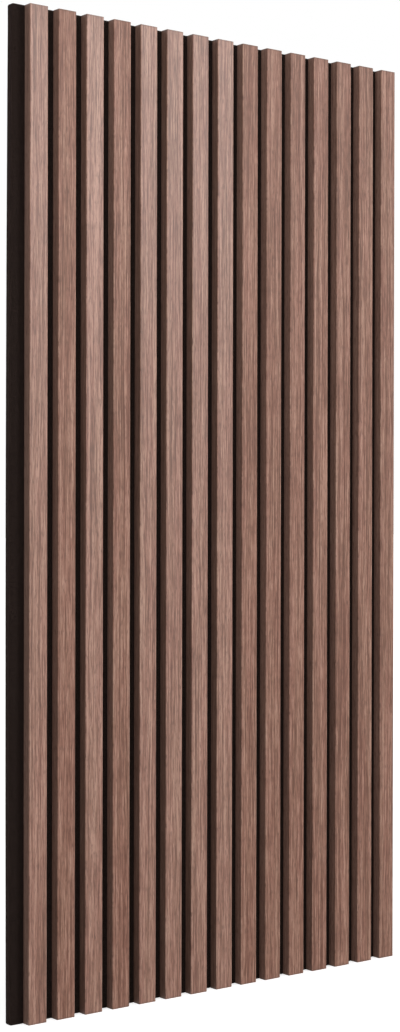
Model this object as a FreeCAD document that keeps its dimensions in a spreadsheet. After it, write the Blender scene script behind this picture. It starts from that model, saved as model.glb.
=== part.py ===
import FreeCAD, Part
import Sketcher
import os

# Acoustic slat wall panel: veneer-wrapped MDF slats, stapled from behind to a felt backing board.
# Millimetres. +X runs along the wall, +Z is up, and the slats face -Y.
# The origin is the middle of the felt's back face, which lies on the wall.

# Driving dimensions: alias, value, meaning
SIZES = (
    ("panel_height", 1200.0, "length of the slats and height of the felt"),
    ("slat_count", 15, "slats side by side"),
    ("slat_width", 25.0, "finished width of a slat, over its veneer"),
    ("slat_depth", 12.0, "finished depth of a slat, from the felt to its face"),
    ("slat_gap", 15.0, "clear groove between two slats"),
    ("veneer_thickness", 0.5, "veneer wrapped round a slat's face and sides"),
    ("core_arris", 0.5, "radius of the two front edges of the MDF core"),
    ("felt_thickness", 9.0, "thickness of the felt board"),
    ("felt_lap", 17.5, "bare felt left of the first slat, where the next panel butts"),
    ("staple_rows", 4, "staples along each slat"),
    ("staple_end", 60.0, "from a slat's end to its nearest staple"),
    ("staple_crown", 12.8, "outside width of a staple"),
    ("staple_bite", 5.0, "depth of the staple legs in the slat"),
    ("staple_sink", 0.2, "depth of the crown below the felt's back"),
    ("staple_shoulder", 0.3, "corner taken off outside, where the crown bends into a leg"),
    ("staple_point", 0.6, "length of the slanted point of a leg"),
    ("wire_width", 0.95, "staple wire, across the flat"),
    ("wire_thickness", 0.65, "staple wire, through the flat"),
    ("wire_fit", 0.05, "clearance round a staple in its slot"),
)

# Derived dimensions, as expressions on the cells above
PITCH = "(sizes.slat_width + sizes.slat_gap)"
PANEL_WIDTH = f"(sizes.felt_lap + sizes.slat_count * {PITCH} - sizes.slat_gap)"
FIRST_SLAT_X = f"(-{PANEL_WIDTH} / 2 + sizes.felt_lap + sizes.slat_width / 2)"
FIRST_ROW_Z = "(-sizes.panel_height / 2 + sizes.staple_end)"
ROWS_LENGTH = "(sizes.panel_height - 2 * sizes.staple_end)"
COLUMNS_LENGTH = f"((sizes.slat_count - 1) * {PITCH})"
CORE_WIDTH = "(sizes.slat_width - 2 * sizes.veneer_thickness)"
CORE_DEPTH = "(sizes.slat_depth - sizes.veneer_thickness)"
VENEER_ARRIS = "(sizes.core_arris + sizes.veneer_thickness)"
STAPLE_TIP = "(sizes.felt_thickness + sizes.staple_bite)"

ORIGIN_POINT = (-1, 1)
ACROSS_AXIS = -1
UP_AXIS = -2
START = 1
END = 2
TOUCH = 1e-6


def make_sheet(doc):
    sheet = doc.addObject("Spreadsheet::Sheet", "sizes")
    for row, (alias, value, meaning) in enumerate(SIZES, start=1):
        sheet.set(f"A{row}", alias)
        sheet.set(f"B{row}", str(value))
        sheet.setAlias(f"B{row}", alias)
        sheet.set(f"C{row}", meaning)
    doc.recompute()
    return sheet


def origin_feature(body, role):
    return next(f for f in body.Origin.OriginFeatures if f.Role == role)


def new_body(doc, label):
    body = doc.addObject("PartDesign::Body", label)
    body.Label = label
    body.AllowCompound = True
    return body


def new_sketch(body, name, offset=None):
    """A sketch on the body's XY plane, moved by the expressions in offset."""
    sketch = body.newObject("Sketcher::SketchObject", name)
    sketch.AttachmentSupport = [(origin_feature(body, "XY_Plane"), "")]
    sketch.MapMode = "FlatFace"
    for axis, expression in (offset or {}).items():
        sketch.setExpression(f"AttachmentOffset.Base.{axis}", expression)
    return sketch


def add_constraint(sketch, *parts):
    return sketch.addConstraint(Sketcher.Constraint(*parts))


def add_size(sketch, kind, first, second, name, start_value, expression):
    """A signed distance from one point to another, driven by an expression."""
    index = add_constraint(sketch, kind, *first, *second, start_value)
    sketch.renameConstraint(index, name)
    sketch.setExpression(f"Constraints.{name}", expression)


def closed_outline(sketch, points):
    """Straight lines through the points, joined end to end. Line n runs from point n to point n + 1."""
    vectors = [FreeCAD.Vector(x, y, 0) for x, y in points]
    ring = vectors[1:] + vectors[:1]
    lines = [Part.LineSegment(a, b) for a, b in zip(vectors, ring)]
    sketch.addGeometry(lines, False)
    for n in range(len(lines)):
        add_constraint(sketch, "Coincident", n, END, (n + 1) % len(lines), START)
    for n, line in enumerate(lines):
        if line.StartPoint.x == line.EndPoint.x:
            add_constraint(sketch, "Vertical", n)
        elif line.StartPoint.y == line.EndPoint.y:
            add_constraint(sketch, "Horizontal", n)


def draw_section(sketch, width, depth):
    """A rectangle across the panel: its back edge on the X axis, centred, and its front towards -Y."""
    closed_outline(sketch, [(-2, 0), (2, 0), (2, -1), (-2, -1)])
    back, right = 0, 1
    add_constraint(sketch, "PointOnObject", back, START, ACROSS_AXIS)
    add_size(sketch, "DistanceX", (back, START), ORIGIN_POINT, "left", 2, f"{width} / 2")
    add_size(sketch, "DistanceX", ORIGIN_POINT, (back, END), "right", 2, f"{width} / 2")
    add_size(sketch, "DistanceY", (right, END), (right, START), "depth", 1, depth)


def draw_staple(sketch, clearance, mouth):
    """A staple's outline: the crown below the felt's back at y = 0, two legs towards -Y, slanted points.

    clearance widens the outline round the wire, and mouth raises its back edge above the crown.
    """
    points = [(-6, 0), (6, 0), (6, -14), (5, -13), (5, -1), (-5, -1), (-5, -13), (-6, -14)]
    closed_outline(sketch, points)
    back, right, point, inner, seat, left_inner, left_point, left = range(len(points))
    add_constraint(sketch, "Symmetric", right, END, left, START, UP_AXIS)
    add_constraint(sketch, "Symmetric", inner, START, left_inner, END, UP_AXIS)
    half_outside = f"sizes.staple_crown / 2 + {clearance}"
    half_inside = f"sizes.staple_crown / 2 - sizes.wire_thickness - {clearance}"
    seat_depth = "sizes.staple_sink + sizes.wire_thickness"
    add_size(sketch, "DistanceX", ORIGIN_POINT, (back, END), "outside", 6, half_outside)
    add_size(sketch, "DistanceX", ORIGIN_POINT, (seat, START), "inside", 5, half_inside)
    add_size(sketch, "DistanceY", (back, START), ORIGIN_POINT, "back", 0, f"sizes.staple_sink - {mouth}")
    add_size(sketch, "DistanceY", (seat, START), ORIGIN_POINT, "seat", 1, seat_depth)
    add_size(sketch, "DistanceY", (right, END), ORIGIN_POINT, "tip", 14, f"{STAPLE_TIP} + {clearance}")
    add_size(sketch, "DistanceY", (right, END), (inner, START), "slant", 1, "sizes.staple_point")


def extrude(body, kind, sketch, length):
    """A Pad or Pocket of the sketch, by half of the length to each side of it."""
    feature = body.newObject(f"PartDesign::{kind}", f"{kind}{sketch.Name}")
    feature.Profile = sketch
    feature.SideType = "Symmetric"
    feature.setExpression("Length", length)
    body.Document.recompute()
    return feature


def long_edges(feature, chosen):
    """The names of the feature's edges that run along Z and whose middle the chosen test picks."""
    names = []
    for n, edge in enumerate(feature.Shape.Edges, start=1):
        along_z = abs(edge.tangentAt(edge.FirstParameter).z) > 0.5
        if along_z and chosen(edge.CenterOfMass):
            names.append(f"Edge{n}")
    return names


def ease_edges(body, kind, feature, chosen, size_name, size):
    """A Fillet or Chamfer along the chosen long edges of the feature."""
    eased = body.newObject(f"PartDesign::{kind}", f"{kind}{feature.Name}")
    eased.Base = (feature, long_edges(feature, chosen))
    eased.setExpression(size_name, size)
    body.Document.recompute()
    return eased


def is_front(middle):
    return middle.y < 0


def repeat(body, feature, across_panel=False, whole_shape=False):
    """Copies of a feature at every staple: along a slat, and from slat to slat."""
    pattern = body.newObject("PartDesign::LinearPattern", f"Pattern{feature.Name}")
    if whole_shape:
        pattern.TransformMode = "Whole shape"
    else:
        pattern.Originals = [feature]
    pattern.Direction = (origin_feature(body, "Z_Axis"), [""])
    pattern.setExpression("Length", ROWS_LENGTH)
    pattern.setExpression("Occurrences", "sizes.staple_rows")
    if across_panel:
        pattern.Direction2 = (origin_feature(body, "X_Axis"), [""])
        pattern.setExpression("Length2", COLUMNS_LENGTH)
        pattern.setExpression("Occurrences2", "sizes.slat_count")
    body.Document.recompute()
    body.Tip = pattern
    return pattern


def make_felt(doc):
    """The felt board, with a slot through it for each staple."""
    felt = new_body(doc, "felt_backing")
    section = new_sketch(felt, "FeltSection")
    draw_section(section, PANEL_WIDTH, "sizes.felt_thickness")
    extrude(felt, "Pad", section, "sizes.panel_height")
    slot = new_sketch(felt, "FeltSlot", {"x": FIRST_SLAT_X, "z": FIRST_ROW_Z})
    draw_staple(slot, "sizes.wire_fit", "sizes.staple_sink")
    cut = extrude(felt, "Pocket", slot, "sizes.wire_width + 2 * sizes.wire_fit")
    repeat(felt, cut, across_panel=True)
    return felt


def place_slat(body, number):
    """Stands a slat's body on the felt's front, in its own place along the panel."""
    body.setExpression("Placement.Base.x", f"{FIRST_SLAT_X} + {number} * {PITCH}")
    body.setExpression("Placement.Base.y", "-sizes.felt_thickness")


def make_core(doc, number):
    """The MDF core of a slat: front edges eased for the veneer, and blind slots for the staple legs."""
    core = new_body(doc, f"slat_core_{number + 1:02d}")
    section = new_sketch(core, f"CoreSection{number}")
    draw_section(section, CORE_WIDTH, CORE_DEPTH)
    pad = extrude(core, "Pad", section, "sizes.panel_height")
    ease_edges(core, "Fillet", pad, is_front, "Radius", "sizes.core_arris")
    slot = new_sketch(core, f"CoreSlot{number}", {"y": "sizes.felt_thickness", "z": FIRST_ROW_Z})
    draw_staple(slot, "sizes.wire_fit", "sizes.staple_sink")
    cut = extrude(core, "Pocket", slot, "sizes.wire_width + 2 * sizes.wire_fit")
    repeat(core, cut)
    place_slat(core, number)
    return core


def make_veneer(doc, number):
    """The veneer of a slat: one sheet folded round the core's face and sides, open behind and at the ends."""
    veneer = new_body(doc, f"slat_veneer_{number + 1:02d}")
    section = new_sketch(veneer, f"VeneerSection{number}")
    draw_section(section, "sizes.slat_width", "sizes.slat_depth")
    pad = extrude(veneer, "Pad", section, "sizes.panel_height")
    rounded = ease_edges(veneer, "Fillet", pad, is_front, "Radius", VENEER_ARRIS)
    open_faces = []
    for n, face in enumerate(rounded.Shape.Faces, start=1):
        normal = face.normalAt(0, 0)
        if normal.y > 0.5 or abs(normal.z) > 0.5:
            open_faces.append(f"Face{n}")
    shell = veneer.newObject("PartDesign::Thickness", f"VeneerSheet{number}")
    shell.Base = (rounded, open_faces)
    shell.Reversed = True
    shell.Join = "Intersection"
    shell.setExpression("Value", "sizes.veneer_thickness")
    place_slat(veneer, number)
    return veneer


def make_staples(doc):
    """Every staple: flat wire bent square at two shoulders, driven through the felt into a slat."""
    staples = new_body(doc, "staples")
    outline = new_sketch(staples, "StapleOutline")
    draw_staple(outline, "0", "0")
    wire = extrude(staples, "Pad", outline, "sizes.wire_width")
    outside = wire.Shape.BoundBox

    def is_shoulder(middle):
        at_side = abs(abs(middle.x) - outside.XMax) < TOUCH
        return at_side and abs(middle.y - outside.YMax) < TOUCH

    bent = ease_edges(staples, "Chamfer", wire, is_shoulder, "Size", "sizes.staple_shoulder")
    repeat(staples, bent, across_panel=True, whole_shape=True)
    staples.setExpression("Placement.Base.x", FIRST_SLAT_X)
    staples.setExpression("Placement.Base.z", FIRST_ROW_Z)
    return staples


def check(doc, bodies):
    for obj in doc.Objects:
        if "Invalid" in obj.State or "Error" in obj.State:
            raise RuntimeError(f"{obj.Label} failed: {obj.State}")
    for body in bodies:
        if body.Shape.isNull() or not body.Shape.isValid():
            raise RuntimeError(f"{body.Label} has no valid shape")


def main():
    doc = FreeCAD.newDocument("slat_panel")
    sheet = make_sheet(doc)
    bodies = [make_felt(doc)]
    for number in range(int(sheet.slat_count)):
        bodies.append(make_core(doc, number))
        bodies.append(make_veneer(doc, number))
    bodies.append(make_staples(doc))
    doc.recompute()
    check(doc, bodies)
    os.makedirs("parts", exist_ok=True)
    for body in bodies:
        body.Shape.exportStep(f"parts/{body.Label}.step")
        print(f"{body.Label}: {len(body.Shape.Solids)} solids, {body.Shape.Volume:.1f} mm3")


main()
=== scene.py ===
from math import radians

import bmesh
import bpy
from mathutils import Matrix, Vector


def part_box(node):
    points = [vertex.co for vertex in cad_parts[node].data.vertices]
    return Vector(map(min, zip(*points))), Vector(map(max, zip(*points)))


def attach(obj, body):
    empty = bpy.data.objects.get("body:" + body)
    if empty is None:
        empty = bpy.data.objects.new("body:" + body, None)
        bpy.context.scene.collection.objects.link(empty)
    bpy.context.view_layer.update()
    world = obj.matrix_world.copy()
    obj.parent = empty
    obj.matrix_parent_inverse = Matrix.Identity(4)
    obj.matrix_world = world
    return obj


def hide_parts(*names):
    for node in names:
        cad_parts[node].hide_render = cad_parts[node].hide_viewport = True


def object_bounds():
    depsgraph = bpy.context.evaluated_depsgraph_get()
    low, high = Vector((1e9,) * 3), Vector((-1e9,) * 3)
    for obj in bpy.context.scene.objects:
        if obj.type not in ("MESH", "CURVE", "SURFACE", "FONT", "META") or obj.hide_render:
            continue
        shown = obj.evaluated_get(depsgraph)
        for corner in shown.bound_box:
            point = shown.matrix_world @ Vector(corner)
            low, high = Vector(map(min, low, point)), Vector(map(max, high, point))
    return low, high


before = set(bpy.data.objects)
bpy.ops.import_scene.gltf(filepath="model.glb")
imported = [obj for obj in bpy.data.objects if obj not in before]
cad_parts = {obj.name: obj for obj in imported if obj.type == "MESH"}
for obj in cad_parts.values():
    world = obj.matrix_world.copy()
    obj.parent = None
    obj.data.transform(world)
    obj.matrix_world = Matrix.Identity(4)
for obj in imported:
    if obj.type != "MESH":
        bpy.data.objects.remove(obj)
cadLow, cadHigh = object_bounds()
print("frame loaded:", len(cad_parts), "solids")

# sizes read from the solids, in metres
mm = 0.001
slatTotal = sum(name.startswith("slat_veneer_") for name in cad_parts)
feltLow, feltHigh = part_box("felt_backing")
feltSize = feltHigh - feltLow
stapleLow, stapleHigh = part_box("staples")
coreLow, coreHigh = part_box("slat_core_01")
firstLow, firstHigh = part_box("slat_veneer_01")
slatWidth = firstHigh.x - firstLow.x
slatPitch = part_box("slat_veneer_02")[0].x - firstLow.x
slatGap = slatPitch - slatWidth
veneerThick = coreLow.x - firstLow.x
samePlace = 0.02 * mm
sameWay = 0.99  # cosine of the largest turn between two like directions


# helpers for edit mode
def deselectAll():
    if bpy.context.object and bpy.context.object.mode != "OBJECT":
        bpy.ops.object.mode_set(mode="OBJECT")
    bpy.ops.object.select_all(action="DESELECT")


def nameBoth(piece, name):
    piece.name = name
    piece.data.name = name


def addBlock(name, low, high):
    # a cube primitive at its size and place, with the place in the mesh
    deselectAll()
    bpy.ops.mesh.primitive_cube_add(size=1, location=(low + high) / 2)
    piece = bpy.context.object
    nameBoth(piece, name)
    piece.scale = high - low
    bpy.ops.object.transform_apply(location=True, rotation=True, scale=True)
    return piece


def pick(piece, mode, test):
    # selects the faces, edges or vertices that the test picks, in edit mode
    if piece.mode != "EDIT":
        bpy.ops.object.mode_set(mode="EDIT")
    bpy.ops.mesh.select_mode(type=mode)
    bpy.ops.mesh.select_all(action="DESELECT")
    mesh = bmesh.from_edit_mesh(piece.data)
    mesh.normal_update()
    parts = {"FACE": mesh.faces, "EDGE": mesh.edges, "VERT": mesh.verts}[mode]
    for part in parts:
        if test(part):
            part.select_set(True)
    mesh.select_flush_mode()
    bmesh.update_edit_mesh(piece.data)


def near(a, b):
    return abs(a - b) < samePlace


def middle(edge):
    return (edge.verts[0].co + edge.verts[1].co) / 2


def runsAlong(edge, axis):
    line = (edge.verts[1].co - edge.verts[0].co).normalized()
    return abs(line["xyz".index(axis)]) > sameWay


def looksTo(face, x=0, y=0, z=0):
    return face.normal.dot(Vector((x, y, z))) > sameWay


def cutAcross(place, way):
    # a new ring of edges through the whole mesh
    bpy.ops.mesh.select_all(action="SELECT")
    bpy.ops.mesh.bisect(plane_co=place, plane_no=way)


def roundEdges(size, steps):
    bpy.ops.mesh.bevel(offset=size, segments=steps, profile=0.5, affect="EDGES")


def useModifier(piece, kind, **settings):
    modifier = piece.modifiers.new(kind.title(), kind)
    for key, value in settings.items():
        setattr(modifier, key, value)
    bpy.ops.object.mode_set(mode="OBJECT")
    bpy.context.view_layer.objects.active = piece
    bpy.ops.object.modifier_apply(modifier=modifier.name)


def finishPiece(piece, material, slot, *nodes):
    piece.data.materials.clear()
    piece.data.materials.append(material)
    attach(piece, "root")
    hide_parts(*nodes)


# helpers for node trees
def addNode(tree, kind, **settings):
    node = tree.nodes.new(kind)
    for key, value in settings.items():
        setattr(node, key, value)
    return node


def feed(tree, socket, value):
    # a link, or a plain value set on the socket
    if isinstance(value, bpy.types.NodeSocket):
        tree.links.new(value, socket)
    else:
        socket.default_value = value


def calc(tree, operation, a, b=0.0, clamp=False):
    node = addNode(tree, "ShaderNodeMath", operation=operation, use_clamp=clamp)
    feed(tree, node.inputs[0], a)
    feed(tree, node.inputs[1], b)
    return node.outputs[0]


def vector(tree, x, y, z):
    node = addNode(tree, "ShaderNodeCombineXYZ")
    for socket, value in zip(node.inputs, (x, y, z)):
        feed(tree, socket, value)
    return node.outputs[0]


def splitAxes(tree, place):
    node = addNode(tree, "ShaderNodeSeparateXYZ")
    feed(tree, node.inputs[0], place)
    return node.outputs


def scaleAxes(tree, axes, scales):
    scaled = [calc(tree, "MULTIPLY", axes[label], scale) for label, scale in zip("XYZ", scales)]
    return vector(tree, *scaled)


def noise(tree, place, scale=1.0, detail=2.0, rough=0.5, distort=0.0):
    node = addNode(tree, "ShaderNodeTexNoise")
    feed(tree, node.inputs["Vector"], place)
    node.inputs["Scale"].default_value = scale
    node.inputs["Detail"].default_value = detail
    node.inputs["Roughness"].default_value = rough
    node.inputs["Distortion"].default_value = distort
    return node.outputs[0]


def remap(tree, value, fromLow, fromHigh, toLow=0.0, toHigh=1.0):
    node = addNode(tree, "ShaderNodeMapRange", interpolation_type="SMOOTHSTEP")
    for socket, given in zip(node.inputs, (value, fromLow, fromHigh, toLow, toHigh)):
        feed(tree, socket, given)
    return node.outputs[0]


def rgba(colour):
    # a plain colour gets its alpha, and a socket passes through
    return (*colour, 1.0) if isinstance(colour, tuple) else colour


def blendColour(tree, factor, a, b, mode="MIX"):
    node = addNode(tree, "ShaderNodeMix", data_type="RGBA", blend_type=mode)
    feed(tree, node.inputs[0], factor)
    feed(tree, node.inputs[6], rgba(a))
    feed(tree, node.inputs[7], rgba(b))
    return node.outputs[2]


def ramp(tree, value, places, colours):
    node = addNode(tree, "ShaderNodeValToRGB")
    feed(tree, node.inputs[0], value)
    marks = node.color_ramp.elements
    while len(marks) < len(places):
        marks.new(0.5)
    for mark, place, colour in zip(marks, places, colours):
        mark.position = place
        mark.color = rgba(colour)
    return node.outputs[0]


def bump(tree, height, strength, distance):
    node = addNode(tree, "ShaderNodeBump")
    node.inputs["Strength"].default_value = strength
    node.inputs["Distance"].default_value = distance
    feed(tree, node.inputs["Height"], height)
    return node.outputs[0]


def newGroup(name, inputs, outputs):
    group = bpy.data.node_groups.new(name, "ShaderNodeTree")
    for label, value in inputs.items():
        socket = group.interface.new_socket(label, in_out="INPUT", socket_type="NodeSocketFloat")
        socket.default_value = value
    for label in outputs:
        group.interface.new_socket(label, in_out="OUTPUT", socket_type="NodeSocketFloat")
    return group, addNode(group, "NodeGroupInput").outputs, addNode(group, "NodeGroupOutput").inputs


def placeGroup(tree, group, **values):
    node = addNode(tree, "ShaderNodeGroup", node_tree=group)
    for label, value in values.items():
        feed(tree, node.inputs[label], value)
    return node.outputs


def newMaterial(name):
    material = bpy.data.materials.new(name)
    material.use_nodes = True
    tree = material.node_tree
    place = addNode(tree, "ShaderNodeTexCoord").outputs["Object"]
    return material, tree, tree.nodes["Principled BSDF"], place


# veneer figure: repeats per metre across and along the leaf, then the noise's detail and roughness
grainShape = {
    "layers": {
        "Band": (85.0, 5.0, 2.0, 0.50),
        "Wide": (180.0, 2.4, 2.0, 0.55),
        "Streak": (430.0, 4.6, 3.0, 0.62),
        "Hair": (780.0, 30.0, 2.0, 0.60),
        "Fleck": (640.0, 110.0, 2.0, 0.50),
        "Pore": (1900.0, 95.0, 1.0, 0.50),
        "Mottle": (70.0, 40.0, 2.0, 0.50),
    },
    "fleckRange": (0.53, 0.68),
    "poreRange": (0.50, 0.60),
    "poreHold": 0.16,
    "leafStep": 40.0,
    "swayScale": 2.2,
    "sway": 9.0 * mm,
}


def makeGrain(shape):
    inputs = {"Across": 0.0, "Along": 0.0, "Leaf": 0.0}
    group, given, made = newGroup("veneerFigure", inputs, shape["layers"])
    leaf = calc(group, "MULTIPLY", given["Leaf"], shape["leafStep"])
    drift = noise(group, vector(group, given["Along"], leaf, 0.0), shape["swayScale"])
    sway = calc(group, "MULTIPLY", calc(group, "SUBTRACT", drift, 0.5), shape["sway"])
    across = calc(group, "ADD", given["Across"], sway)
    level = {}
    for label, (acrossScale, alongScale, detail, rough) in shape["layers"].items():
        x = calc(group, "MULTIPLY", across, acrossScale)
        z = calc(group, "MULTIPLY", given["Along"], alongScale)
        level[label] = noise(group, vector(group, x, leaf, z), detail=detail, rough=rough)
    # pale streaks have fewer pores
    held = calc(group, "MULTIPLY", level["Streak"], shape["poreHold"])
    level["Pore"] = remap(group, calc(group, "SUBTRACT", level["Pore"], held), *shape["poreRange"])
    level["Fleck"] = remap(group, level["Fleck"], *shape["fleckRange"])
    for label, value in level.items():
        feed(group, made[label], value)
    return group


# loose fibres lying every way: two sets of crossing lines, and the clumps between them
fibreShape = {
    "sets": ((1.0, 1.6), (1.7, 2.4)),  # scale and distortion
    "lineWidth": 0.055,
    "rough": 0.6,
    "clumpScale": 0.34,
    "clumpDetail": 3.0,
    "clumpDistort": 0.6,
}


def makeFibre(shape):
    inputs = {"X": 0.0, "Y": 0.0, "Z": 0.0, "Scale": 1.0}
    group, given, made = newGroup("looseFibre", inputs, ("Line", "Clump"))
    place = vector(group, given["X"], given["Y"], given["Z"])

    def scaled(factor):
        node = addNode(group, "ShaderNodeVectorMath", operation="SCALE")
        feed(group, node.inputs[0], place)
        feed(group, node.inputs["Scale"], calc(group, "MULTIPLY", given["Scale"], factor))
        return node.outputs[0]

    def lines(factor, distort):
        level = noise(group, scaled(factor), rough=shape["rough"], distort=distort)
        ridge = calc(group, "ABSOLUTE", calc(group, "SUBTRACT", level, 0.5))
        return remap(group, ridge, 0.0, shape["lineWidth"], 1.0, 0.0)

    firstSet, secondSet = shape["sets"]
    feed(group, made["Line"], calc(group, "MAXIMUM", lines(*firstSet), lines(*secondSet)))
    clump = noise(group, scaled(shape["clumpScale"]), detail=shape["clumpDetail"], rough=shape["rough"],
                  distort=shape["clumpDistort"])
    feed(group, made["Clump"], clump)
    return group


grainGroup = makeGrain(grainShape)
fibreGroup = makeFibre(fibreShape)

# walnut veneer
walnutLook = {
    "dark": (0.185, 0.096, 0.069),
    "middle": (0.330, 0.188, 0.142),
    "light": (0.500, 0.325, 0.260),
    "toneStops": (0.32, 0.50, 0.68),
    "figure": {"Wide": 0.24, "Streak": 0.90, "Hair": 0.88, "Mottle": 0.12},
    "reddish": (0.350, 0.170, 0.128),
    "olive": (0.305, 0.196, 0.130),
    "tintRange": (0.36, 0.64),
    "tintShare": 0.40,
    "pore": (0.120, 0.060, 0.043),
    "markShare": {"Fleck": 0.42, "Pore": 0.65},
    "leafSeed": 3.37,
    "paleRow": (4, 7),
    "leafTone": (-0.014, 0.016),  # plain and pale leaves
    "coat": (0.13, 0.49),
    "coatRoughness": 0.40,
    "specular": 0.16,
    "hairRange": (0.3, 0.7),
    "roughness": (0.46, 0.62),
    "side": (0.326, 0.207, 0.167),
    # painted shade on the sides of the pale leaves but the first
    "paleSideShade": (0.190, 0.124, 0.099),
    "sideReach": (0.8 * mm, 2.5 * mm),
    "sideShare": 0.6,
    # painted highlight on the folds, paler where the rounded arrises catch the light
    "foldReach": (0.4 * mm, 1.7 * mm),
    "foldRange": (0.3, 0.6),
    "foldHighlight": (0.08, 0.24),
    "endDark": (0.120, 0.068, 0.048),
    "endDarkReach": (0.4 * mm, 2.6 * mm),
    "endDarkShare": 0.45,
    "hairHeight": 0.4,
    "bumpStrength": 0.6,
    "poreDepth": 0.05 * mm,
}


def findLeaf(tree, axes, look):
    # each slat has its own leaf of veneer, numbered from 0 at the left
    fromLeft = calc(tree, "SUBTRACT", axes["X"], firstLow.x - slatGap / 2)
    number = calc(tree, "FLOOR", calc(tree, "DIVIDE", fromLeft, slatPitch))
    draw = addNode(tree, "ShaderNodeTexWhiteNoise", noise_dimensions="1D")
    feed(tree, draw.inputs["W"], calc(tree, "ADD", number, look["leafSeed"]))
    # the left half has pale, shinier leaves: every second one at first, then four side by side
    rowStart, rowEnd = look["paleRow"]
    everySecond = calc(tree, "SUBTRACT", 1.0, calc(tree, "MODULO", number, 2.0))
    sideBySide = calc(tree, "GREATER_THAN", number, rowStart - 0.5)
    leftHalf = calc(tree, "LESS_THAN", number, rowEnd + 0.5)
    pale = calc(tree, "MULTIPLY", calc(tree, "MAXIMUM", everySecond, sideBySide), leftHalf)
    return {"fromLeft": fromLeft, "number": number, "draw": draw.outputs["Value"], "pale": pale}


def paintFace(tree, figure, leaf, look):
    level = 0.5
    for label, amount in look["figure"].items():
        part = calc(tree, "MULTIPLY", calc(tree, "SUBTRACT", figure[label], 0.5), amount)
        level = calc(tree, "ADD", part, level)
    level = calc(tree, "ADD", level, remap(tree, leaf["pale"], 0.0, 1.0, *look["leafTone"]))
    colour = ramp(tree, level, look["toneStops"], (look["dark"], look["middle"], look["light"]))
    hue = remap(tree, figure["Band"], *look["tintRange"])
    tint = blendColour(tree, hue, look["reddish"], look["olive"])
    return blendColour(tree, look["tintShare"], colour, tint, "SOFT_LIGHT")


def paintFolds(tree, colour, axes, figure, leaf, look):
    # the folded sides keep a flatter tone than the face; on all pale leaves but the first the sides are
    # painted darker, a painted shade, while the first, open to the light at the left, keeps the plain side
    # colour
    depth = calc(tree, "SUBTRACT", axes["Y"], firstLow.y)
    pastFirst = calc(tree, "GREATER_THAN", leaf["number"], 0.5)
    side = blendColour(tree, calc(tree, "MULTIPLY", leaf["pale"], pastFirst), look["side"], look["paleSideShade"])
    folded = remap(tree, depth, *look["sideReach"], 0.0, look["sideShare"])
    colour = blendColour(tree, folded, colour, side)
    # painted highlight: the folds themselves are painted paler, as where their rounded arrises catch the
    # light
    fromMiddle = calc(tree, "FLOORED_MODULO", leaf["fromLeft"], slatPitch)
    fromMiddle = calc(tree, "ABSOLUTE", calc(tree, "SUBTRACT", fromMiddle, slatPitch / 2))
    fromFold = calc(tree, "MAXIMUM", calc(tree, "SUBTRACT", slatWidth / 2, fromMiddle), depth)
    paintedHighlight = remap(tree, figure["Mottle"], *look["foldRange"], *look["foldHighlight"])
    paintedHighlight = calc(tree, "MULTIPLY", remap(tree, fromFold, *look["foldReach"], 1.0, 0.0), paintedHighlight)
    return blendColour(tree, paintedHighlight, colour, look["light"])


def paintEnds(tree, colour, axes, look):
    # the last millimetres at both ends are darker
    fromEnd = calc(tree, "SUBTRACT", (firstHigh.z - firstLow.z) / 2, calc(tree, "ABSOLUTE", axes["Z"]))
    endDarkening = remap(tree, fromEnd, *look["endDarkReach"], look["endDarkShare"], 0.0)
    return blendColour(tree, endDarkening, colour, look["endDark"])


def makeWalnut(look):
    material, tree, shader, place = newMaterial("walnutVeneer")
    axes = splitAxes(tree, place)
    leaf = findLeaf(tree, axes, look)
    # the leaf is folded back at the sides, so the grain runs on from x into y there
    across = calc(tree, "ADD", axes["X"], axes["Y"])
    figure = placeGroup(tree, grainGroup, Across=across, Along=axes["Z"], Leaf=leaf["draw"])
    colour = paintFace(tree, figure, leaf, look)
    colour = paintFolds(tree, colour, axes, figure, leaf, look)
    colour = paintEnds(tree, colour, axes, look)
    for label, share in look["markShare"].items():
        colour = blendColour(tree, calc(tree, "MULTIPLY", figure[label], share), colour, look["pore"])
    feed(tree, shader.inputs["Base Color"], colour)
    gloss = remap(tree, figure["Hair"], *look["hairRange"], *look["roughness"])
    feed(tree, shader.inputs["Roughness"], gloss)
    shader.inputs["Specular IOR Level"].default_value = look["specular"]
    feed(tree, shader.inputs["Coat Weight"], remap(tree, leaf["pale"], 0.0, 1.0, *look["coat"]))
    shader.inputs["Coat Roughness"].default_value = look["coatRoughness"]
    hairs = calc(tree, "MULTIPLY", figure["Hair"], look["hairHeight"])
    height = calc(tree, "SUBTRACT", hairs, figure["Pore"])
    feed(tree, shader.inputs["Normal"], bump(tree, height, look["bumpStrength"], look["poreDepth"]))
    return material


# raw MDF at the sawn ends
mdfLook = {
    "board": (0.330, 0.205, 0.118),
    "skin": (0.225, 0.130, 0.072),
    "skinReach": (3.5 * mm, 5.8 * mm),  # from the middle of the board
    "skinShare": 0.7,
    "pale": (0.460, 0.320, 0.205),
    "paleRange": (0.52, 0.72),
    "fleck": (0.130, 0.075, 0.045),
    "fleckShare": 0.55,
    "fibreScale": 1100.0,
    "clumpRange": (0.3, 0.7),
    "roughness": (0.82, 0.95),
    "bumpStrength": 0.5,
    "bumpDepth": 0.12 * mm,
}


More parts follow.
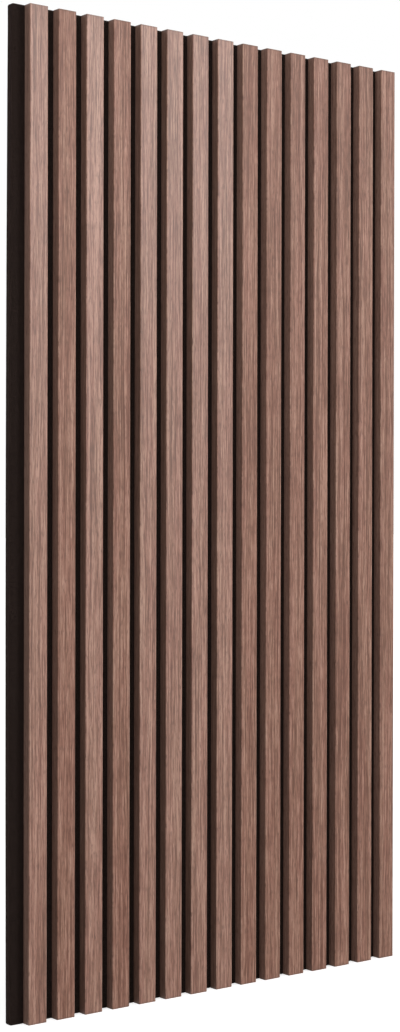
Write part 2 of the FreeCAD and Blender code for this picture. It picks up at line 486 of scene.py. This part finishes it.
def makeMdf(look):
    material, tree, shader, place = newMaterial("rawMdf")
    axes = splitAxes(tree, place)
    fibre = placeGroup(tree, fibreGroup, X=axes["X"], Y=axes["Y"], Z=axes["Z"], Scale=look["fibreScale"])
    depth = calc(tree, "SUBTRACT", axes["Y"], (coreLow.y + coreHigh.y) / 2)
    skin = remap(tree, calc(tree, "ABSOLUTE", depth), *look["skinReach"])
    colour = blendColour(tree, calc(tree, "MULTIPLY", skin, look["skinShare"]), look["board"], look["skin"])
    colour = blendColour(tree, remap(tree, fibre["Clump"], *look["paleRange"]), colour, look["pale"])
    fleck = calc(tree, "MULTIPLY", fibre["Line"], look["fleckShare"])
    feed(tree, shader.inputs["Base Color"], blendColour(tree, fleck, colour, look["fleck"]))
    dull = remap(tree, fibre["Clump"], *look["clumpRange"], *look["roughness"])
    feed(tree, shader.inputs["Roughness"], dull)
    feed(tree, shader.inputs["Normal"], bump(tree, fibre["Line"], look["bumpStrength"], look["bumpDepth"]))
    return material


# bare strip of felt at the left, which swells out between its ends
stripShape = {
    "spread": 1.0 * mm,
    "swell": 2.0 * mm,
    "swellHeight": -0.08,
    "swellReach": 0.65,
}

# needled polyester felt
feltLook = {
    "deep": (0.0059, 0.0038, 0.0031),
    "body": (0.0098, 0.0063, 0.0052),
    "clumpStops": (0.30, 0.62),
    "fibre": (0.0670, 0.0445, 0.0375),
    "fibreShare": 0.6,
    "fibreScale": 620.0,
    "cut": (0.0480, 0.0290, 0.0250),
    "cutDepth": (0.4 * mm, 1.6 * mm),
    "cutShare": 0.45,
    "webScale": (40.0, 1300.0, 40.0),
    "webRange": (0.35, 0.65),
    "webShade": (0.72, 1.12),
    "roughness": 0.96,
    "specular": 0.04,
    "sheen": 0.03,
    "sheenTint": (0.60, 0.40, 0.34),
    "clumpHeight": 1.6,
    "bumpStrength": 0.8,
    "bumpDepth": 0.35 * mm,
}


def fromFeltEdge(tree, axes, strip):
    # how far a spot lies inside the cut outline of the felt, with the swell of its strip
    climb = calc(tree, "SUBTRACT", axes["Z"], strip["swellHeight"])
    climb = calc(tree, "DIVIDE", climb, strip["swellReach"])
    swell = calc(tree, "SUBTRACT", 1.0, calc(tree, "MULTIPLY", climb, climb), clamp=True)
    fromLeft = calc(tree, "SUBTRACT", axes["X"], feltLow.x - strip["spread"])
    fromLeft = calc(tree, "ADD", fromLeft, calc(tree, "MULTIPLY", swell, strip["swell"]))
    fromRight = calc(tree, "SUBTRACT", feltHigh.x, axes["X"])
    fromEnd = calc(tree, "SUBTRACT", feltHigh.z, calc(tree, "ABSOLUTE", axes["Z"]))
    return calc(tree, "MINIMUM", calc(tree, "MINIMUM", fromLeft, fromRight), fromEnd)


def makeFelt(look, strip):
    material, tree, shader, place = newMaterial("needledFelt")
    axes = splitAxes(tree, place)
    fibre = placeGroup(tree, fibreGroup, X=axes["X"], Y=axes["Y"], Z=axes["Z"], Scale=look["fibreScale"])
    colour = ramp(tree, fibre["Clump"], look["clumpStops"], (look["deep"], look["body"]))
    strand = calc(tree, "MULTIPLY", fibre["Line"], look["fibreShare"])
    colour = blendColour(tree, strand, colour, look["fibre"])
    # the knife leaves paler, fuzzy fibre ends along the four edges, where the layers of the web show
    cut = remap(tree, fromFeltEdge(tree, axes, strip), *look["cutDepth"], 1.0, 0.0)
    colour = blendColour(tree, calc(tree, "MULTIPLY", cut, look["cutShare"]), colour, look["cut"])
    layers = noise(tree, scaleAxes(tree, axes, look["webScale"]))
    web = remap(tree, layers, *look["webRange"], *look["webShade"])
    feed(tree, shader.inputs["Base Color"], blendColour(tree, cut, colour, web, "MULTIPLY"))
    shader.inputs["Roughness"].default_value = look["roughness"]
    shader.inputs["Specular IOR Level"].default_value = look["specular"]
    shader.inputs["Sheen Weight"].default_value = look["sheen"]
    shader.inputs["Sheen Tint"].default_value = rgba(look["sheenTint"])
    clumps = calc(tree, "MULTIPLY", fibre["Clump"], look["clumpHeight"])
    height = calc(tree, "ADD", fibre["Line"], clumps)
    feed(tree, shader.inputs["Normal"], bump(tree, height, look["bumpStrength"], look["bumpDepth"]))
    return material


# galvanised staple wire
wireLook = {
    "zinc": (0.520, 0.525, 0.530),
    "dull": (0.330, 0.330, 0.335),
    "spangleScale": 900.0,
    "spangleDetail": 3.0,
    "spangleRough": 0.6,
    "spangleRange": (0.4, 0.65),
    "drawnScale": (160.0, 160.0, 9000.0),
    "drawnRange": (0.35, 0.65),
    "roughness": (0.30, 0.52),
    "bumpStrength": 0.3,
    "bumpDepth": 0.02 * mm,
}


def makeWire(look):
    material, tree, shader, place = newMaterial("galvanisedWire")
    spangle = noise(tree, place, look["spangleScale"], look["spangleDetail"], look["spangleRough"])
    colour = blendColour(tree, remap(tree, spangle, *look["spangleRange"]), look["zinc"], look["dull"])
    feed(tree, shader.inputs["Base Color"], colour)
    shader.inputs["Metallic"].default_value = 1.0
    drawn = noise(tree, scaleAxes(tree, splitAxes(tree, place), look["drawnScale"]))
    feed(tree, shader.inputs["Roughness"], remap(tree, drawn, *look["drawnRange"], *look["roughness"]))
    feed(tree, shader.inputs["Normal"], bump(tree, drawn, look["bumpStrength"], look["bumpDepth"]))
    return material


walnut = makeWalnut(walnutLook)
mdf = makeMdf(mdfLook)
felt = makeFelt(feltLook, stripShape)
wireMetal = makeWire(wireLook)
print("materials made")

# veneer wraps: one leaf folded round the face and sides of a slat
veneerShape = {
    "arris": 1.0 * mm,
    "arrisSteps": 5,
    "endEase": 0.12 * mm,
    "endSteps": 2,
    "slack": 0.1 * mm,
    "smoothBelow": radians(40),
}


def isCutEdge(edge):
    # outer edges of the sawn ends, where a face of the veneer meets the cut
    spot = middle(edge)
    slack = veneerShape["slack"]
    atEnd = near(spot.z, firstLow.z) or near(spot.z, firstHigh.z)
    inner = coreLow.x - slack < spot.x < coreHigh.x + slack and spot.y > coreLow.y - slack
    return atEnd and not inner and not near(spot.y, firstHigh.y)


def makeVeneer(shape):
    piece = addBlock("veneer_wrap_01", firstLow, firstHigh)
    pick(piece, "FACE", lambda face: looksTo(face, y=1) or looksTo(face, z=1) or looksTo(face, z=-1))
    bpy.ops.mesh.delete(type="FACE")
    pick(piece, "EDGE", lambda edge: runsAlong(edge, "z") and near(middle(edge).y, firstLow.y))
    roundEdges(shape["arris"], shape["arrisSteps"])
    useModifier(piece, "SOLIDIFY", thickness=veneerThick, offset=-1.0, use_even_offset=True)
    pick(piece, "EDGE", isCutEdge)
    roundEdges(shape["endEase"], shape["endSteps"])
    bpy.ops.object.mode_set(mode="OBJECT")
    bpy.ops.object.shade_smooth_by_angle(angle=shape["smoothBelow"])
    useModifier(piece, "WEIGHTED_NORMAL", weight=100, keep_sharp=True)  # keeps the long faces flat
    return piece


def copyAlong(piece, number):
    deselectAll()
    piece.select_set(True)
    bpy.context.view_layer.objects.active = piece
    bpy.ops.object.duplicate(linked=False)
    copy = bpy.context.object
    bpy.ops.transform.translate(value=(slatPitch * number, 0, 0))
    bpy.ops.object.transform_apply(location=True, rotation=True, scale=True)
    nameBoth(copy, f"veneer_wrap_{number + 1:02d}")
    return copy


firstVeneer = makeVeneer(veneerShape)
veneers = [firstVeneer] + [copyAlong(firstVeneer, number) for number in range(1, slatTotal)]
for number, veneer in enumerate(veneers, start=1):
    finishPiece(veneer, walnut, "walnut_veneer", f"slat_veneer_{number:02d}")
    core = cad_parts[f"slat_core_{number:02d}"]
    core.data.materials.clear()
    core.data.materials.append(mdf)
print("veneers folded:", len(veneers))

# staples driven from behind
stapleShape = {
    "rows": 4,
    "wireThick": 0.65 * mm,
    "wireWide": 0.95 * mm,
    "crown": 12.8 * mm,
    "shoulder": 0.6 * mm,
    "shoulderSteps": 4,
    "crook": 0.25 * mm,
    "crookSteps": 3,
    "pointSlant": 0.6 * mm,
    "smoothBelow": radians(40),
}
crownLow = Vector((stapleLow.x, stapleHigh.y - stapleShape["wireThick"], stapleLow.z))
crownSize = Vector((stapleShape["crown"], stapleShape["wireThick"], stapleShape["wireWide"]))
crownHigh = crownLow + crownSize


def repeatOverRows(piece):
    # one to each slat, in rows up the panel
    rows = stapleShape["rows"]
    rowPitch = (stapleHigh.z - crownHigh.z) / (rows - 1)
    for count, step in ((slatTotal, (slatPitch, 0, 0)), (rows, (0, 0, rowPitch))):
        useModifier(piece, "ARRAY", count=count, use_relative_offset=False, use_constant_offset=True,
                    constant_offset_displace=step)


def makeStaples(shape):
    piece = addBlock("staple_rows", crownLow, crownHigh)
    legSides = (crownLow.x + shape["wireThick"], crownHigh.x - shape["wireThick"])  # inner sides of the legs

    def isLegRoot(face):
        between = legSides[0] < face.calc_center_median().x < legSides[1]
        return looksTo(face, y=-1) and not between

    def atLegSide(spot):
        return any(near(spot.x, x) for x in legSides)

    def isShoulder(edge):
        spot = middle(edge)
        outside = near(spot.x, crownLow.x) or near(spot.x, crownHigh.x)
        return runsAlong(edge, "z") and near(spot.y, crownHigh.y) and outside

    def isCrook(edge):
        spot = middle(edge)
        return runsAlong(edge, "z") and near(spot.y, crownLow.y) and atLegSide(spot)

    bpy.ops.object.mode_set(mode="EDIT")
    for x in legSides:
        cutAcross((x, 0, 0), (1, 0, 0))
    pick(piece, "FACE", isLegRoot)
    bpy.ops.mesh.extrude_region_move(TRANSFORM_OT_translate={"value": (0, stapleLow.y - crownLow.y, 0)})
    pick(piece, "VERT", lambda vert: near(vert.co.y, stapleLow.y) and atLegSide(vert.co))
    bpy.ops.transform.translate(value=(0, shape["pointSlant"], 0))
    pick(piece, "EDGE", isShoulder)
    roundEdges(shape["shoulder"], shape["shoulderSteps"])
    pick(piece, "EDGE", isCrook)
    roundEdges(shape["crook"], shape["crookSteps"])
    repeatOverRows(piece)
    bpy.ops.object.shade_smooth_by_angle(angle=shape["smoothBelow"])
    return piece


stapleRows = makeStaples(stapleShape)
finishPiece(stapleRows, wireMetal, "staple_wire", "staples")
print("staples made")

# felt board, pulled in where the staples hold it
feltShape = {
    "cell": 5.0 * mm,
    "layers": 4,
    "cornerRound": 3.0 * mm,
    "cornerSteps": 4,
    "edgeRound": 0.7 * mm,
    "edgeSteps": 3,
    "sharpAbove": radians(60),
    "relief": 0.16 * mm,
    "reliefScale": 9.0 * mm,
    "reliefDetail": 3,
    "dimpleRoom": 0.25 * mm,
    "dimpleSpread": (1.22, 1.0, 4.2),
    "dimpleRound": 0.5 * mm,
    "dimpleSteps": 3,
}


def isBoardCorner(edge):
    spot = middle(edge)
    atSide = near(spot.x, feltLow.x) or near(spot.x, feltHigh.x)
    atEnd = near(spot.z, feltLow.z) or near(spot.z, feltHigh.z)
    return runsAlong(edge, "y") and atSide and atEnd


def isBoardArris(edge):
    return len(edge.link_faces) == 2 and edge.calc_face_angle() > feltShape["sharpAbove"]


def addBoard(shape):
    # a fine grid for the front, pulled back to the felt's thickness
    deselectAll()
    bpy.ops.mesh.primitive_grid_add(
        x_subdivisions=round(feltSize.x / shape["cell"]), y_subdivisions=round(feltSize.z / shape["cell"]),
        size=1, location=((feltLow.x + feltHigh.x) / 2, feltLow.y, (feltLow.z + feltHigh.z) / 2),
        rotation=(radians(90), 0, 0))
    piece = bpy.context.object
    nameBoth(piece, "felt_board")
    piece.scale = (feltSize.x, feltSize.z, 1)
    bpy.ops.object.transform_apply(location=True, rotation=True, scale=True)
    bpy.ops.object.mode_set(mode="EDIT")
    bpy.ops.mesh.select_all(action="SELECT")
    bpy.ops.mesh.extrude_region_move(TRANSFORM_OT_translate={"value": (0, feltSize.y, 0)})
    bpy.ops.mesh.select_all(action="SELECT")
    bpy.ops.mesh.normals_make_consistent(inside=False)
    for layer in range(1, shape["layers"]):
        cutAcross((0, feltLow.y + layer / shape["layers"] * feltSize.y, 0), (0, 1, 0))
    return piece


def spreadStrip(piece, strip, shape):
    # moves the left edge out, most of all near the middle of its height
    band = shape["cornerRound"] + shape["edgeRound"]
    pick(piece, "VERT", lambda vert: vert.co.x < feltLow.x + band)
    bpy.ops.transform.translate(value=(-strip["spread"], 0, 0))
    bpy.ops.mesh.hide(unselected=True)
    pick(piece, "VERT", lambda vert: abs(vert.co.z - strip["swellHeight"]) < shape["cell"] / 2)
    bpy.ops.transform.translate(
        value=(-strip["swell"], 0, 0), use_proportional_edit=True,
        proportional_edit_falloff="INVERSE_SQUARE", proportional_size=strip["swellReach"])
    bpy.ops.mesh.reveal(select=False)


def makeDimples(shape):
    # a trough that opens out from the crown of each staple to the back of the felt
    room = Vector((shape["dimpleRoom"], 0, shape["dimpleRoom"]))
    mouth = feltHigh.y + shape["dimpleRoom"]
    piece = addBlock("dimples", crownLow - room, Vector((crownHigh.x, mouth, crownHigh.z)) + room)
    pick(piece, "FACE", lambda face: looksTo(face, y=1))
    centre = ((crownLow.x + crownHigh.x) / 2, mouth, (crownLow.z + crownHigh.z) / 2)
    bpy.ops.transform.resize(value=shape["dimpleSpread"], center_override=centre)
    pick(piece, "EDGE", lambda edge: not near(edge.verts[0].co.y, edge.verts[1].co.y))
    roundEdges(shape["dimpleRound"], shape["dimpleSteps"])
    repeatOverRows(piece)
    return piece


def makeFeltBoard(shape, strip):
    piece = addBoard(shape)
    pick(piece, "EDGE", isBoardCorner)
    roundEdges(shape["cornerRound"], shape["cornerSteps"])
    pick(piece, "EDGE", isBoardArris)
    roundEdges(shape["edgeRound"], shape["edgeSteps"])
    spreadStrip(piece, strip, shape)
    cloud = bpy.data.textures.new("feltRelief", "CLOUDS")
    cloud.noise_scale = shape["reliefScale"]
    cloud.noise_depth = shape["reliefDetail"]
    # a middle level of 1 keeps the relief inside the board
    useModifier(piece, "DISPLACE", texture=cloud, texture_coords="LOCAL", strength=shape["relief"],
                mid_level=1.0)
    dimples = makeDimples(shape)
    useModifier(piece, "BOOLEAN", operation="DIFFERENCE", object=dimples, solver="MANIFOLD")
    bpy.data.objects.remove(dimples)
    deselectAll()
    piece.select_set(True)
    bpy.ops.object.shade_smooth_by_angle(angle=shape["sharpAbove"])
    return piece


feltBoard = makeFeltBoard(feltShape, stripShape)
finishPiece(feltBoard, felt, "felt", "felt_backing")
print("felt board made")

# studio: pale floor, soft light and the camera
studio = {
    "floorHalf": 30.0,
    "floorSeen": 0.80,
    "floorBounce": 0.30,
    "floorRough": 0.9,
    "floorGlow": (0.62, 1.0),
    "floorFade": (1.2, 3.5),
    "ambient": 0.29,
    "cameraPlace": (-1.5057, -1.9334, 0.0095),
    "cameraTurn": (89.738, -0.111, -37.629),
    "lens": 67.22,
    "sensor": 36.0,
}
softboxes = {
    "keySoftbox": {"place": (3.9, -5.8, 2.4), "aim": (0.0, 0.0, 0.0), "size": 2.6, "power": 262.0},
    "frontSoftbox": {"place": (-0.4, -4.8, 1.6), "aim": (0.0, 0.0, 0.0), "size": 2.0, "power": 47.0},
    "fillSoftbox": {"place": (-1.0, -1.0, 1.2), "aim": (0.0, 0.0, 0.2), "size": 0.8, "power": 8.0},
    "backSoftbox": {"place": (-0.9, 1.9, 0.0), "aim": (0.0, 0.0, 0.0), "size": 0.9, "power": 26.0},
}


def whiteForCamera(tree):
    # 1 for rays that show the background itself, 0 for rays that only light the object
    path = addNode(tree, "ShaderNodeLightPath")
    seen = calc(tree, "MAXIMUM", path.outputs["Is Camera Ray"], path.outputs["Is Glossy Ray"])
    return calc(tree, "MAXIMUM", seen, path.outputs["Is Transmission Ray"])


def makeFloor(values):
    deselectAll()
    bpy.ops.mesh.primitive_plane_add(size=2 * values["floorHalf"], location=(0, 0, cadLow.z))
    floor = bpy.context.object
    floor.name = "floor"
    material, tree, shader, place = newMaterial("paleFloor")
    seen = whiteForCamera(tree)
    shade = remap(tree, seen, 0.0, 1.0, values["floorBounce"], values["floorSeen"])
    feed(tree, shader.inputs["Base Color"], shade)
    shader.inputs["Roughness"].default_value = values["floorRough"]
    shader.inputs["Specular IOR Level"].default_value = 0.0
    # the floor glows up to plain white with distance, and keeps the shadow round the panel
    reach = addNode(tree, "ShaderNodeVectorMath", operation="LENGTH")
    feed(tree, reach.inputs[0], place)
    glow = remap(tree, reach.outputs["Value"], *values["floorFade"], *values["floorGlow"])
    shader.inputs["Emission Color"].default_value = (1, 1, 1, 1)
    feed(tree, shader.inputs["Emission Strength"], calc(tree, "MULTIPLY", glow, seen))
    floor.data.materials.append(material)


def makeWorld(values):
    world = bpy.data.worlds.new("studioWhite")
    world.use_nodes = True
    tree = world.node_tree
    background = tree.nodes["Background"]
    background.inputs["Color"].default_value = (1, 1, 1, 1)
    strength = remap(tree, whiteForCamera(tree), 0.0, 1.0, values["ambient"], 1.0)
    feed(tree, background.inputs["Strength"], strength)
    bpy.context.scene.world = world


def makeLights(boxes):
    for name, values in boxes.items():
        deselectAll()
        bpy.ops.object.light_add(type="AREA", location=values["place"])
        light = bpy.context.object
        light.name = name
        light.data.shape = "SQUARE"
        light.data.size = values["size"]
        light.data.energy = values["power"]
        beam = Vector(values["aim"]) - Vector(values["place"])
        light.rotation_euler = beam.to_track_quat("-Z", "Y").to_euler()
        light.visible_camera = False


def makeCamera(values):
    deselectAll()
    turn = [radians(angle) for angle in values["cameraTurn"]]
    bpy.ops.object.camera_add(location=values["cameraPlace"], rotation=turn)
    camera = bpy.context.object
    camera.data.sensor_width = values["sensor"]
    camera.data.sensor_fit = "AUTO"
    camera.data.lens = values["lens"]
    bpy.context.scene.camera = camera


makeFloor(studio)
makeWorld(studio)
makeLights(softboxes)
makeCamera(studio)
bpy.context.scene.view_settings.view_transform = "Standard"
print("studio set")
